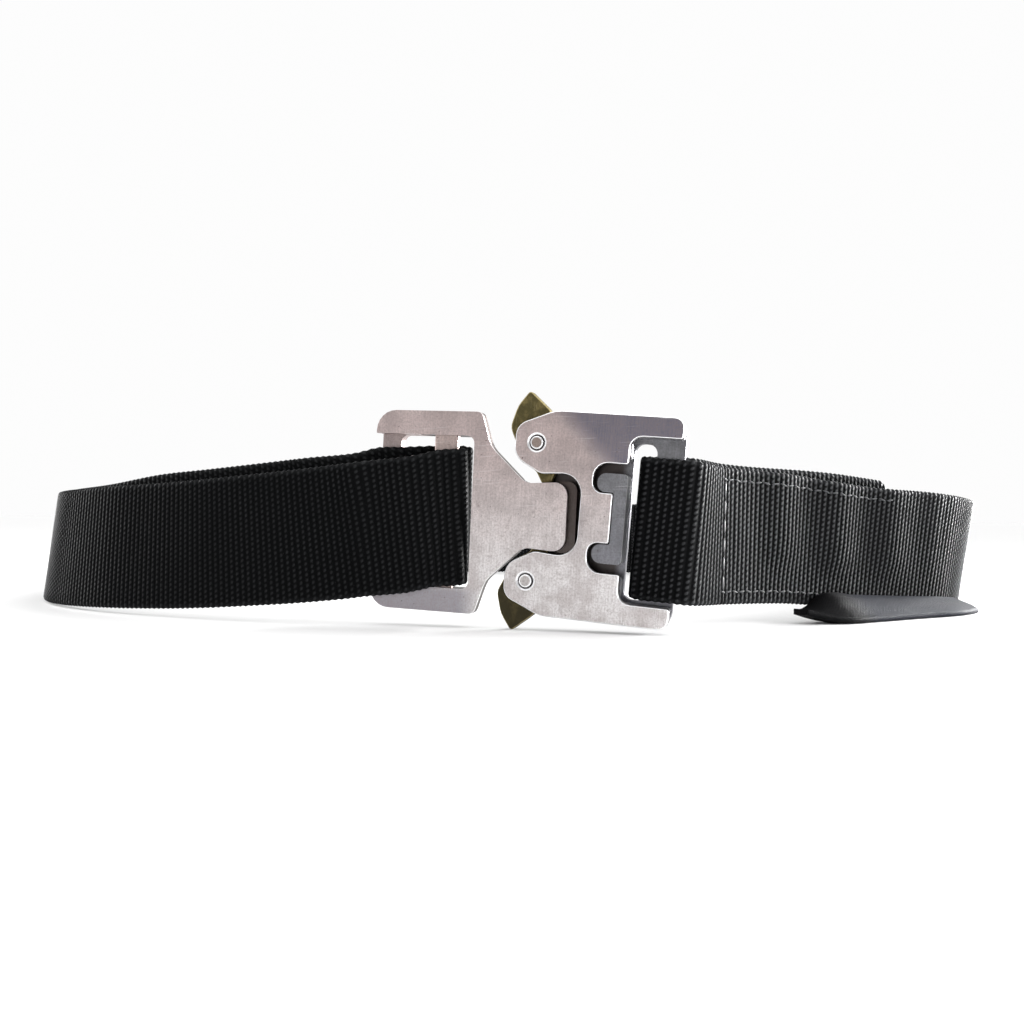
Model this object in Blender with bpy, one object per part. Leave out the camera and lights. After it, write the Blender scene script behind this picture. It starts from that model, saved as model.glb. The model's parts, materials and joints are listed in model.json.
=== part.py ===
"""Webbing waist belt with a metal side-release buckle, standing on its edge as a closed loop.

Metres, +Z up.  The belt is laid out with the middle of the buckle's front face over the
origin, then the whole of it is moved so that the middle of its footprint is the origin.
"""
import math

import bmesh
import bpy
from mathutils import Euler, Matrix, Vector

MM = 0.001

# Webbing
WEB_WIDTH = 45.0 * MM
WEB_THICKNESS = 2.2 * MM
WEB_STEP = 7.0 * MM
WRAP_STEPS = 7

# How the two halves of the buckle stand: height of the middle, clockwise turn, yaw
YAW = math.radians(17.0)
MALE_HEIGHT = 37.0 * MM
MALE_TURN = math.radians(2.35)
FEMALE_HEIGHT = 38.5 * MM
FEMALE_TURN = math.radians(4.55)

# Buckle, in the plane of its front face: u along the strap, v up, depth behind the face
FRONT_PLATE = 2.7 * MM
CORE_FRONT = 3.0 * MM
CORE_BACK = 6.6 * MM
BACK_PLATE_FRONT = 6.9 * MM
BACK_PLATE_BACK = 9.7 * MM
MALE_PLATE = 3.6 * MM
MALE_DEPTH = 9.0 * MM
EDGE_BEVEL = 0.45 * MM
PROUD = 2.0 * MM
ROOTED = 0.8 * MM
BEYOND = 40.0 * MM

MALE_LEFT = -48.6 * MM
MALE_WINDOW = (-41.9 * MM, -13.9 * MM)
MALE_WINDOW_HALF = 25.05 * MM
MALE_WINDOW_ROUND = 2.6
MOUTH_END = -35.0 * MM
MOUTH_HALF = 25.15 * MM
ARM_BLOCK_END = -15.5 * MM
TONGUE_RELIEF_START = 2.6 * MM
CROSSBAR_FRONT = 5.6 * MM
BAR_U = (-28.6 * MM, -20.4 * MM)
BAR_DEPTH = (1.9 * MM, 5.1 * MM)
BAR_HALF_LENGTH = 27.9 * MM
BAR_ROUND = 1.1
POCKET_START = -34.0 * MM
SEAT_GAP = 0.3 * MM

FEMALE_WINDOW = (36.9 * MM, 44.1 * MM)
FEMALE_WINDOW_V = (-25.2 * MM, 24.4 * MM)
FEMALE_WINDOW_ROUND = 3.0
BOSS_FRONT = 0.5 * MM

RIVET_U = 6.3 * MM
RIVET_V = 22.2 * MM
RIVET_RADIUS = 2.1 * MM
BORE_RADIUS = 2.4 * MM
SINK_RADIUS = 2.9 * MM
SINK_DEPTH = 0.6 * MM
RIVET_FOOT = 10.3 * MM
RIVET_DOME = 0.15 * MM
RIVET_CHAMFER = 0.4 * MM

# Label: one strip folded along its front edge
LABEL_THICKNESS = 1.0 * MM
LABEL_GAP = 0.35 * MM
LABEL_FOLD_STEPS = 4
LABEL_STEPS = 3

# Outlines as corners: u, v, radius in millimetres, upper half only, from the buckle's axis
FEMALE_FRONT_CORNERS = (
    (22.0, 13.4, 7.2),    # mouth round the tongue
    (8.4, 12.4, 4.0),     # lip of the mouth
    (-0.9, 17.2, 6.0),    # lobe round the rivet, below
    (-0.9, 27.6, 5.0),    # lobe round the rivet, above
    (11.8, 32.9, 10.0),   # shoulder
    (52.8, 32.9, 5.2),    # end of the arm
    (52.8, 26.2, 1.0),
    (36.4, 26.2, 4.0),    # strap slot
    (36.4, 17.3, 0.8),
    (25.6, 17.3, 4.6),    # notch for the boss
    (25.6, 7.9, 4.6),
    (32.2, 7.9, 0.8),
)
FEMALE_BACK_CORNERS = (
    (9.0, 14.5, 5.0),
    (-0.9, 17.2, 6.0),
    (-0.9, 27.6, 5.0),
    (11.8, 32.9, 10.0),
    (52.8, 32.9, 5.2),
)
PAD_CORNERS = (
    (24.0, 18.2, 3.0),
    (36.6, 18.2, 0.8),
    (36.6, 26.0, 0.8),
    (52.5, 26.0, 0.8),
    (52.5, 32.6, 4.9),
    (24.0, 32.6, 3.0),
)
BOSS_CORNERS = (
    (36.6, 14.2, 1.6),
    (27.0, 14.2, 2.9),
    (27.0, 8.2, 2.9),
    (32.5, 8.2, 0.6),
)
MALE_CORNERS = (
    (17.9, 11.2, 4.2),    # tip of the tongue
    (4.0, 10.3, 5.0),     # root of the tongue
    (-8.2, 21.7, 8.0),    # flank
    (-11.8, 32.9, 2.2),
    (-48.6, 32.9, 6.8),   # end of the arm
)
CORE_CORNERS = (
    (20.5, 11.4, 3.8),    # head that the levers hold
    (14.6, 11.4, 0.8),
    (14.6, 6.2, 0.8),     # neck
    (-10.0, 6.2, 0.8),
)
LEVER_CORNERS = (
    (-3.9, 26.8, 4.5),    # thumb tab
    (-1.9, 33.9, 9.0),
    (1.9, 39.0, 1.1),     # its tip
    (8.9, 33.2, 4.0),
    (13.6, 25.0, 5.0),    # round the rivet
    (13.2, 16.5, 4.0),
    (11.4, 10.0, 0.7),    # hook behind the tongue's head
    (8.2, 9.4, 0.7),
    (6.0, 13.2, 4.0),
    (1.6, 15.6, 3.0),
)

# Route of the webbing: plan position of its bottom edge, height of that edge, outward lean
# in degrees, and how far inside it the second layer lies and how much higher.
# Millimetres, clockwise seen from above, from the buckle's left end round to its right end.
ROUTE = (
    # x, y, lift, lean, inside, rise
    (-54.0, 10.5, 8.8, 0.0, 5.2, 3.6),
    (-71.0, 14.5, 6.9, -1.0, 4.6, 4.0),
    (-89.0, 20.5, 5.3, -2.0, 4.2, 3.9),
    (-110.0, 29.0, 3.6, -3.0, 3.8, 3.8),
    (-131.0, 39.5, 2.4, -4.0, 3.4, 3.4),
    (-155.0, 54.0, 1.4, -5.0, 3.0, 1.2),
    (-178.0, 75.0, 0.7, -6.0, 2.8, 0.4),
    (-194.5, 102.0, 0.3, -7.0, 2.8, 0.2),
    (-203.5, 132.0, 0.0, -6.0, 2.8, 0.2),
    (-207.0, 165.0, 0.0, -4.0, 2.8, 0.2),
    (-203.0, 205.0, 0.0, -2.0, 0.0, 0.0),
    (-185.0, 247.0, 0.0, 0.0, 0.0, 0.0),
    (-145.0, 295.0, 0.0, 0.0, 0.0, 0.0),
    (-90.0, 329.0, 0.0, 0.0, 0.0, 0.0),
    (-15.0, 351.0, 0.0, 0.0, 0.0, 0.0),
    (60.0, 356.0, 0.0, 0.0, 0.0, 0.0),
    (122.0, 342.0, 0.0, 1.0, 0.0, 0.0),
    (168.0, 309.0, 0.0, 3.0, 0.0, 0.0),
    (194.0, 265.0, 0.0, 5.0, 0.0, 0.0),
    (204.0, 220.0, 0.0, 7.0, 0.0, 0.0),
    (204.0, 180.0, 0.0, 8.0, 0.0, 0.0),
    (199.0, 145.0, 0.0, 8.0, 0.0, 0.0),
    (191.0, 117.0, 0.0, 8.0, 0.0, 0.0),
    (182.5, 97.0, 0.2, 8.0, 0.0, 0.0),
    (170.0, 80.0, 1.3, 6.5, 0.0, 0.0),
    (155.0, 68.5, 2.5, 5.0, 0.0, 0.0),
    (140.0, 58.8, 3.5, 4.0, 2.6, 0.4),
    (126.0, 49.5, 4.6, 3.0, 2.6, 0.7),
    (112.0, 40.0, 5.7, 2.0, 2.6, 0.9),
    (98.0, 30.0, 6.8, 1.0, 2.6, 1.0),
    (83.0, 18.0, 7.6, 0.0, 2.7, 1.2),
    (70.0, 6.5, 8.2, 0.0, 3.2, 1.3),
)

# Passes of the webbing at the buckle, in its own plane: u, depth, v of the bottom edge
MALE_OUTER_PASS = ((-20.1, 0.5, -24.4), (-23.5, -0.3, -24.6), (-26.0, -1.5, -25.0), (-28.5, -2.4, -25.8),
                   (-34.0, -3.5, -27.3), (-41.0, -4.5, -28.4), (-48.0, -5.5, -29.4))
MALE_INNER_PASS = ((-49.0, 3.0, -24.6), (-42.0, 3.9, -24.2), (-37.0, 5.0, -23.8),
                   (-31.0, 6.6, -23.3), (-25.5, 7.2, -23.0), (-20.1, 7.2, -23.0))
FEMALE_FRONT_PASS = ((57.5, 6.4, -24.9), (52.5, 5.5, -24.8), (47.0, 5.5, -24.8), (42.5, 5.5, -24.8))
FEMALE_BACK_PASS = ((42.5, 11.1, -24.2), (48.0, 11.1, -24.0), (54.0, 11.2, -23.8))

# Label at the lower edge of the right-hand run, rows from left to right: height of the lower
# layer's underside, then x, y and height of the top side from the front fold to the webbing.
LABEL_ROWS = (
    # floor, then five of x, y, top
    (3.2, (102.5, 23.8, 5.6), (101.5, 24.9, 5.7), (100.5, 26.0, 5.8), (99.5, 27.1, 5.9), (98.3, 28.3, 6.0)),
    (0.0, (120.0, 28.1, 2.4), (116.2, 28.8, 5.5), (113.6, 31.6, 9.0), (111.4, 34.5, 10.3), (110.1, 36.4, 9.8)),
    (0.0, (130.0, 34.7, 2.4), (128.1, 37.6, 4.8), (126.1, 40.5, 7.4), (124.2, 43.5, 9.0), (123.0, 45.2, 9.0)),
    (0.0, (144.0, 44.0, 2.4), (142.1, 46.9, 4.3), (140.1, 49.8, 6.2), (138.2, 52.8, 7.8), (137.0, 54.5, 8.1)),
    (0.0, (158.0, 53.2, 2.4), (156.1, 56.1, 3.9), (154.1, 59.0, 5.4), (152.2, 62.0, 6.9), (151.2, 63.4, 7.3)),
    (0.0, (171.0, 61.5, 2.4), (169.7, 65.9, 3.6), (167.6, 68.7, 4.9), (165.6, 71.2, 6.2), (164.8, 72.3, 6.6)),
    (0.0, (182.4, 72.5, 2.4), (180.2, 74.6, 3.4), (178.0, 76.6, 4.4), (176.0, 78.4, 5.4), (175.1, 79.2, 5.8)),
)

SEATS = {}


def clear_scene():
    for item in list(bpy.data.objects):
        bpy.data.objects.remove(item, do_unlink=True)


def material(name, colour, roughness, metallic):
    finish = bpy.data.materials.new(name)
    finish.use_nodes = True
    shader = finish.node_tree.nodes["Principled BSDF"]
    shader.inputs["Base Color"].default_value = (*colour, 1.0)
    shader.inputs["Roughness"].default_value = roughness
    shader.inputs["Metallic"].default_value = metallic
    return finish


def add_object(name, mesh, parent=None, finish=None):
    item = bpy.data.objects.new(name, mesh)
    bpy.context.collection.objects.link(item)
    item.parent = parent
    if finish is not None:
        mesh.materials.append(finish)
    return item


def mesh_from_bmesh(name, bm):
    bmesh.ops.recalc_face_normals(bm, faces=bm.faces)
    mesh = bpy.data.meshes.new(name)
    bm.to_mesh(mesh)
    bm.free()
    return mesh


def add_empty(name, parent=None, location=(0.0, 0.0, 0.0), rotation=(0.0, 0.0, 0.0)):
    empty = bpy.data.objects.new(name, None)
    bpy.context.collection.objects.link(empty)
    empty.parent = parent
    empty.location = location
    empty.rotation_euler = rotation
    return empty


def mirrored(corners):
    """The whole outline, from the corners of its upper half."""
    lower = [(u, -v, radius) for u, v, radius in reversed(corners)]
    return list(corners) + lower


def rounded_outline(corners, turn_step=math.radians(15.0)):
    """Points of a closed outline in metres whose corners are arcs of the given radii."""
    points = []
    count = len(corners)
    for index, (u, v, radius) in enumerate(corners):
        here = Vector((u, v)) * MM
        before = Vector(corners[index - 1][:2]) * MM
        after = Vector(corners[(index + 1) % count][:2]) * MM
        arrive = (here - before).normalized()
        leave = (after - here).normalized()
        turn = math.atan2(arrive.x * leave.y - arrive.y * leave.x, arrive.dot(leave))
        reach = min(abs(radius * MM * math.tan(turn / 2.0)),
                    0.49 * (here - before).length, 0.49 * (after - here).length)
        real_radius = reach / max(abs(math.tan(turn / 2.0)), 1e-6)
        side = Vector((-arrive.y, arrive.x)) * (1.0 if turn > 0.0 else -1.0)
        centre = here - arrive * reach + side * real_radius
        steps = max(2, math.ceil(abs(turn) / turn_step))
        for step in range(steps + 1):
            angle = turn * step / steps
            spoke = Matrix.Rotation(angle, 2) @ (-side * real_radius)
            points.append(centre + spoke)
    return points


def slab(name, outline, front, back):
    """An outline in the buckle's plane, made solid between two depths."""
    bm = bmesh.new()
    near = [bm.verts.new((p.x, front, p.y)) for p in outline]
    far = [bm.verts.new((p.x, back, p.y)) for p in outline]
    bm.faces.new(near)
    bm.faces.new(list(reversed(far)))
    count = len(outline)
    for index in range(count):
        after = (index + 1) % count
        bm.faces.new((near[index], far[index], far[after], near[after]))
    return mesh_from_bmesh(name, bm)


def block(name, u_range, v_range, depth_range):
    corners = [Vector((u_range[0], v_range[0])), Vector((u_range[1], v_range[0])),
               Vector((u_range[1], v_range[1])), Vector((u_range[0], v_range[1]))]
    return slab(name, corners, *depth_range)


def window_corners(u_range, v_range, radius):
    left, right = (value / MM for value in u_range)
    low, high = (value / MM for value in v_range)
    return [(right, high, radius), (left, high, radius), (left, low, radius), (right, low, radius)]


def turned(name, profile, location, sides=24):
    """A solid of revolution about the depth axis from (radius, depth) pairs."""
    bm = bmesh.new()
    rings = []
    for radius, depth in profile:
        ring = []
        for side in range(sides):
            angle = 2.0 * math.pi * side / sides
            ring.append(bm.verts.new((location[0] + radius * math.cos(angle), depth,
                                      location[1] + radius * math.sin(angle))))
        rings.append(ring)
    bm.faces.new(rings[0])
    bm.faces.new(list(reversed(rings[-1])))
    for first, second in zip(rings, rings[1:]):
        for side in range(sides):
            after = (side + 1) % sides
            bm.faces.new((first[side], second[side], second[after], first[after]))
    return mesh_from_bmesh(name, bm)


def cutter(name, mesh, parent):
    item = add_object(name, mesh, parent)
    item.hide_render = True
    item.display_type = "WIRE"
    return item


def boolean(item, tool, operation):
    modifier = item.modifiers.new(tool.name, "BOOLEAN")
    modifier.operation = operation
    modifier.object = tool
    modifier.solver = "EXACT"


def soften_edges(item, width=EDGE_BEVEL):
    modifier = item.modifiers.new("edge bevel", "BEVEL")
    modifier.width = width
    modifier.segments = 1
    modifier.limit_method = "ANGLE"
    modifier.angle_limit = math.radians(38.0)
    modifier.use_clamp_overlap = True


def smooth_rounds(item):
    item.data.shade_smooth()
    item.data.set_sharp_from_angle(angle=math.radians(30.0))


def rivet_bore(name, v_sign, parent):
    """Cutter for the rivet's bore, wider where it opens on the front face."""
    place = (RIVET_U, v_sign * RIVET_V)
    profile = ((SINK_RADIUS + SINK_DEPTH, -SINK_DEPTH), (BORE_RADIUS, SINK_DEPTH),
               (BORE_RADIUS, BACK_PLATE_BACK + PROUD))
    return cutter(name, turned(name, profile, place), parent)


def make_male(parent, finish):
    outline = rounded_outline(mirrored(MALE_CORNERS))
    frame = add_object("male_frame", slab("male_frame", outline, 0.0, MALE_DEPTH), parent, finish)
    window = rounded_outline(window_corners(MALE_WINDOW, (-MALE_WINDOW_HALF, MALE_WINDOW_HALF),
                                            MALE_WINDOW_ROUND))
    pocket_half = BAR_HALF_LENGTH + SEAT_GAP
    tools = (
        ("male_window", slab("male_window", window, -PROUD, MALE_DEPTH + PROUD)),
        ("male_mouth", block("male_mouth", (MALE_LEFT - PROUD, MOUTH_END), (-MOUTH_HALF, MOUTH_HALF),
                             (-PROUD, CROSSBAR_FRONT))),
        ("male_pockets", block("male_pockets", (POCKET_START, BAR_U[1] + SEAT_GAP),
                               (-pocket_half, pocket_half),
                               (BAR_DEPTH[0] - SEAT_GAP, BAR_DEPTH[1] + SEAT_GAP))),
        ("rear_relief", block("rear_relief", (ARM_BLOCK_END, BEYOND), (-BEYOND, BEYOND),
                              (MALE_PLATE, MALE_DEPTH + PROUD))),
        ("tongue_relief", block("tongue_relief", (TONGUE_RELIEF_START, BEYOND), (-BEYOND, BEYOND),
                                (FRONT_PLATE, MALE_DEPTH + PROUD))),
    )
    for name, mesh in tools:
        boolean(frame, cutter(name, mesh, parent), "DIFFERENCE")
    core = slab("tongue_core", rounded_outline(mirrored(CORE_CORNERS)), FRONT_PLATE - SEAT_GAP, CORE_BACK)
    boolean(frame, cutter("tongue_core", core, parent), "UNION")
    soften_edges(frame)
    smooth_rounds(frame)
    return frame


def make_adjuster_bar(parent, finish):
    """Flat bar with rounded long edges, its section drawn in u and depth."""
    left, right = (value / MM for value in BAR_U)
    front, back = (value / MM for value in BAR_DEPTH)
    corners = [(left, front, BAR_ROUND), (right, front, BAR_ROUND),
               (right, back, BAR_ROUND), (left, back, BAR_ROUND)]
    section = rounded_outline(corners, math.radians(22.5))
    bm = bmesh.new()
    low = [bm.verts.new((p.x, p.y, -BAR_HALF_LENGTH)) for p in section]
    high = [bm.verts.new((p.x, p.y, BAR_HALF_LENGTH)) for p in section]
    bm.faces.new(low)
    bm.faces.new(list(reversed(high)))
    for index in range(len(section)):
        after = (index + 1) % len(section)
        bm.faces.new((low[index], high[index], high[after], low[after]))
    bar = add_object("adjuster_bar", mesh_from_bmesh("adjuster_bar", bm), parent, finish)
    smooth_rounds(bar)
    return bar


def make_front_plate(parent, finish):
    outline = rounded_outline(mirrored(FEMALE_FRONT_CORNERS))
    plate = add_object("female_front_plate", slab("female_front_plate", outline, 0.0, FRONT_PLATE),
                       parent, finish)
    for name, sign in (("front_bore_top", 1.0), ("front_bore_bottom", -1.0)):
        boolean(plate, rivet_bore(name, sign, parent), "DIFFERENCE")
    soften_edges(plate)
    smooth_rounds(plate)
    return plate


def make_back_plate(parent, finish):
    """Back plate with the strap's crossbar, the arms' pads and the boss that fills the notch."""
    outline = rounded_outline(mirrored(FEMALE_BACK_CORNERS))
    plate = add_object("female_back_plate",
                       slab("female_back_plate", outline, BACK_PLATE_FRONT, BACK_PLATE_BACK), parent, finish)
    boss = slab("boss", rounded_outline(mirrored(BOSS_CORNERS)), BOSS_FRONT, BACK_PLATE_FRONT + ROOTED)
    boolean(plate, cutter("boss", boss, parent), "UNION")
    for name, sign in (("pad_top", 1.0), ("pad_bottom", -1.0)):
        corners = [(u, sign * v, radius) for u, v, radius in PAD_CORNERS]
        pad = slab(name, rounded_outline(corners), CORE_FRONT, BACK_PLATE_FRONT + ROOTED)
        boolean(plate, cutter(name, pad, parent), "UNION")
    window = rounded_outline(window_corners(FEMALE_WINDOW, FEMALE_WINDOW_V, FEMALE_WINDOW_ROUND))
    opening = slab("female_window", window, BACK_PLATE_FRONT - ROOTED, BACK_PLATE_BACK + PROUD)
    boolean(plate, cutter("female_window", opening, parent), "DIFFERENCE")
    for name, sign in (("back_bore_top", 1.0), ("back_bore_bottom", -1.0)):
        boolean(plate, rivet_bore(name, sign, parent), "DIFFERENCE")
    soften_edges(plate)
    smooth_rounds(plate)
    return plate


def make_rivet(name, v_sign, parent, finish):
    small = RIVET_RADIUS - RIVET_CHAMFER
    profile = ((small, -RIVET_DOME), (RIVET_RADIUS, RIVET_DOME),
               (RIVET_RADIUS, RIVET_FOOT - 2.0 * RIVET_DOME), (small, RIVET_FOOT))
    rivet = add_object(name, turned(name, profile, (RIVET_U, v_sign * RIVET_V)), parent, finish)
    smooth_rounds(rivet)
    return rivet


def make_lever(name, v_sign, parent, finish):
    """Release lever whose own origin is on its rivet's axis."""
    corners = [(u - RIVET_U / MM, v_sign * (v - RIVET_V / MM), radius) for u, v, radius in LEVER_CORNERS]
    lever = add_object(name, slab(name, rounded_outline(corners), CORE_FRONT, CORE_BACK), parent, finish)
    lever.location = (RIVET_U, 0.0, v_sign * RIVET_V)
    bore_name = name + "_bore"
    profile = ((BORE_RADIUS, 0.0), (BORE_RADIUS, BACK_PLATE_BACK))
    bore = cutter(bore_name, turned(bore_name, profile, (RIVET_U, v_sign * RIVET_V)), parent)
    boolean(lever, bore, "DIFFERENCE")
    soften_edges(lever)
    smooth_rounds(lever)
    return lever


def outward(points, index):
    """Unit vector in plan that points out of the loop at a station of a clockwise route."""
    before = points[max(index - 1, 0)]
    after = points[min(index + 1, len(points) - 1)]
    run = (after - before).normalized()
    return Vector((-run.y, run.x, 0.0))


def route_pair(index, plan, layer):
    """Bottom and top edge of the webbing at a row of ROUTE, on its outer or inner layer."""
    _, _, lift, lean, inside, rise = ROUTE[index]
    out = outward(plan, index)
    base = plan[index].copy()
    base.z = lift * MM
    if layer == "inner":
        base -= out * inside * MM
        base.z += rise * MM
    across = out * math.sin(math.radians(lean)) + Vector((0.0, 0.0, math.cos(math.radians(lean))))
    return base, base + across * WEB_WIDTH


def pass_pairs(seat, rows):
    """Edges of the webbing where it runs through one half of the buckle."""
    pairs = []
    for u, depth, v in rows:
        low = seat @ (Vector((u, depth, v)) * MM)
        high = seat @ Vector((u * MM, depth * MM, v * MM + WEB_WIDTH))
        pairs.append((low, high))
    return pairs


def wrap_rows(start, finish, bulge):
    """Half turn of the webbing round a bar, from one pass to the next."""
    centre = (start[1] + finish[1]) / 2.0
    radius = (finish[1] - start[1]) / 2.0
    rows = []
    for step in range(1, WRAP_STEPS):
        angle = math.pi * step / WRAP_STEPS
        share = step / WRAP_STEPS
        rows.append((start[0] + bulge * abs(radius) * math.sin(angle),
                     centre - radius * math.cos(angle),
                     start[2] + (finish[2] - start[2]) * share))
    return rows


def smooth_pairs(pairs):
    """Stations on a smooth curve through the given ones, no further apart than WEB_STEP."""
    result = []
    for index in range(len(pairs) - 1):
        stations = [pairs[max(index - 1, 0)], pairs[index], pairs[index + 1],
                    pairs[min(index + 2, len(pairs) - 1)]]
        span = (pairs[index + 1][0] - pairs[index][0]).length
        steps = max(1, math.ceil(span / WEB_STEP))
        for step in range(steps):
            share = step / steps
            edges = [curve_point([station[edge] for station in stations], share) for edge in (0, 1)]
            result.append(tuple(edges))
    result.append(pairs[-1])
    return result


def curve_point(points, share):
    """Point on a Catmull-Rom curve that allows for uneven spacing."""
    knots = [0.0]
    for first, second in zip(points, points[1:]):
        knots.append(knots[-1] + max((second - first).length, 1e-6) ** 0.5)
    place = knots[1] + (knots[2] - knots[1]) * share
    level = list(points)
    for width in (1, 2, 3):
        raised = []
        for index in range(len(level) - 1):
            low, high = (1, 2) if width == 3 else (index, index + width)
            part = (place - knots[low]) / (knots[high] - knots[low])
            raised.append(level[index].lerp(level[index + 1], part))
        level = raised
    return level[0]


def webbing_pairs():
    """All stations of the one piece of webbing, from its free tail to its sewn end."""
    plan = [Vector((x, y, 0.0)) * MM for x, y, *_ in ROUTE]
    left = [index for index, row in enumerate(ROUTE) if row[4] > 0.0 and row[0] < 0.0]
    right = [index for index, row in enumerate(ROUTE) if row[4] > 0.0 and row[0] > 0.0]
    male, female = SEATS["male"], SEATS["female"]
    pairs = [route_pair(index, plan, "inner") for index in reversed(left)]
    pairs += pass_pairs(male, MALE_INNER_PASS)
    pairs += pass_pairs(male, wrap_rows(MALE_INNER_PASS[-1], MALE_OUTER_PASS[0], 1.0))
    pairs += pass_pairs(male, MALE_OUTER_PASS)
    pairs += [route_pair(index, plan, "outer") for index in range(len(ROUTE))]
    pairs += pass_pairs(female, FEMALE_FRONT_PASS)
    pairs += pass_pairs(female, wrap_rows(FEMALE_FRONT_PASS[-1], FEMALE_BACK_PASS[0], -1.0))
    pairs += pass_pairs(female, FEMALE_BACK_PASS)
    pairs += [route_pair(index, plan, "inner") for index in reversed(right)]
    return smooth_pairs(pairs)


def make_webbing(parent, finish):
    pairs = webbing_pairs()
    bm = bmesh.new()
    rings = []
    for index, (low, high) in enumerate(pairs):
        before = pairs[max(index - 1, 0)][0]
        after = pairs[min(index + 1, len(pairs) - 1)][0]
        across = (high - low).normalized()
        side = (after - before).cross(across).normalized() * (WEB_THICKNESS / 2.0)
        high = low + across * WEB_WIDTH
        rings.append([bm.verts.new(point) for point in (low + side, high + side, high - side, low - side)])
    for first, second in zip(rings, rings[1:]):
        for corner in range(4):
            after = (corner + 1) % 4
            bm.faces.new((first[corner], first[after], second[after], second[corner]))
    bm.faces.new(list(reversed(rings[0])))
    bm.faces.new(rings[-1])
    return add_object("webbing", mesh_from_bmesh("webbing", bm), parent, finish)


def label_rows():
    """Rows of the label from left to right, on smooth curves through the given ones."""
    rows = [[Vector((x, y, top, floor)) * MM for x, y, top in stations] for floor, *stations in LABEL_ROWS]
    result = []
    for index in range(len(rows) - 1):
        near = [rows[max(index - 1, 0)], rows[index], rows[index + 1], rows[min(index + 2, len(rows) - 1)]]
        for step in range(LABEL_STEPS):
            share = step / LABEL_STEPS
            result.append([curve_point([row[station] for row in near], share)
                           for station in range(len(rows[0]))])
    result.append(rows[-1])
    return result


def label_section(stations):
    """Closed section of the label: top side, round the fold, underside, then back along the inside."""
    up = Vector((0.0, 0.0, 1.0))
    half_gap = LABEL_GAP / 2.0
    outer = LABEL_THICKNESS + half_gap
    floors = [Vector((x, y, max(floor, 0.0))) for x, y, _, floor in stations]
    tops = [Vector((floor.x, floor.y, max(station[2], floor.z + 2.0 * outer)))
            for station, floor in zip(stations, floors)]
    fold = floors[0]
    inwards = (floors[-1] - fold).normalized()
    inside = []
    for index in range(1, len(tops)):
        climb = tops[min(index + 1, len(tops) - 1)] - tops[index - 1]
        slope = math.atan2(climb.z, math.hypot(climb.x, climb.y))
        inside.append(tops[index] + (inwards * math.sin(slope) - up * math.cos(slope)) * LABEL_THICKNESS)
    section = list(reversed(tops[1:]))
    for step in range(LABEL_FOLD_STEPS + 1):
        angle = math.pi * step / LABEL_FOLD_STEPS
        section.append(fold + inwards * outer * (1.0 - math.sin(angle))
                       + up * outer * (1.0 + math.cos(angle)))
    section += floors[1:]
    section += [floor + up * LABEL_THICKNESS for floor in reversed(floors[1:])]
    for step in range(3):
        angle = math.pi * step / 2.0
        section.append(fold + inwards * (outer - half_gap * math.sin(angle))
                       + up * (outer - half_gap * math.cos(angle)))
    section += inside
    return section


def make_label(parent, finish):
    """Folded strip of cloth that lies along the lower edge of the webbing, its front fold outside."""
    bm = bmesh.new()
    rings = [[bm.verts.new(point) for point in label_section(row)] for row in label_rows()]
    count = len(rings[0])
    for first, second in zip(rings, rings[1:]):
        for corner in range(count):
            after = (corner + 1) % count
            bm.faces.new((first[corner], first[after], second[after], second[corner]))
    bm.faces.new(list(reversed(rings[0])))
    bm.faces.new(rings[-1])
    return add_object("label", mesh_from_bmesh("label", bm), parent, finish)


def centre_on_footprint(root, solids):
    """Moves the belt so that the middle of its footprint is the origin."""
    bpy.context.view_layer.update()
    depsgraph = bpy.context.evaluated_depsgraph_get()
    points = []
    for item in solids:
        evaluated = item.evaluated_get(depsgraph)
        points += [item.matrix_world @ vertex.co for vertex in evaluated.data.vertices]
    low = Vector([min(point[axis] for point in points) for axis in range(3)])
    high = Vector([max(point[axis] for point in points) for axis in range(3)])
    middle = (low + high) / 2.0
    root.location = (-middle.x, -middle.y, -low.z)
    bpy.context.view_layer.update()


def main():
    clear_scene()
    aluminium = material("satin_aluminium", (0.62, 0.61, 0.62), 0.34, 1.0)
    steel = material("rivet_steel", (0.55, 0.52, 0.50), 0.38, 1.0)
    bronze = material("bar_metal", (0.60, 0.50, 0.46), 0.35, 1.0)
    brass = material("lever_brass", (0.30, 0.25, 0.11), 0.40, 1.0)
    nylon = material("black_webbing", (0.012, 0.013, 0.014), 0.75, 0.0)
    woven = material("label_cloth", (0.02, 0.021, 0.025), 0.7, 0.0)

    root = add_empty("belt")
    male = add_empty("male_half", root, (0.0, 0.0, MALE_HEIGHT), (0.0, MALE_TURN, -YAW))
    female = add_empty("female_half", root, (0.0, 0.0, FEMALE_HEIGHT), (0.0, FEMALE_TURN, -YAW))
    for name, empty in (("male", male), ("female", female)):
        SEATS[name] = Matrix.Translation(empty.location) @ Euler(empty.rotation_euler).to_matrix().to_4x4()

    solids = [
        make_male(male, aluminium),
        make_adjuster_bar(male, bronze),
        make_front_plate(female, aluminium),
        make_back_plate(female, aluminium),
        make_rivet("rivet_top", 1.0, female, steel),
        make_rivet("rivet_bottom", -1.0, female, steel),
        make_lever("lever_top", 1.0, female, brass),
        make_lever("lever_bottom", -1.0, female, brass),
        make_webbing(root, nylon),
        make_label(root, woven),
    ]
    centre_on_footprint(root, solids)


main()
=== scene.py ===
"""Looks of a webbing waist belt with a metal side-release buckle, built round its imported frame.

Metres, +Z up.  The layout of the belt is the one of its construction: the middle of the
buckle's front face stands over the layout's origin, and SHIFT moves the layout to the frame.
"""
import json
import math

import bpy
import numpy as np
from mathutils import Euler, Matrix, Vector


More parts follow.
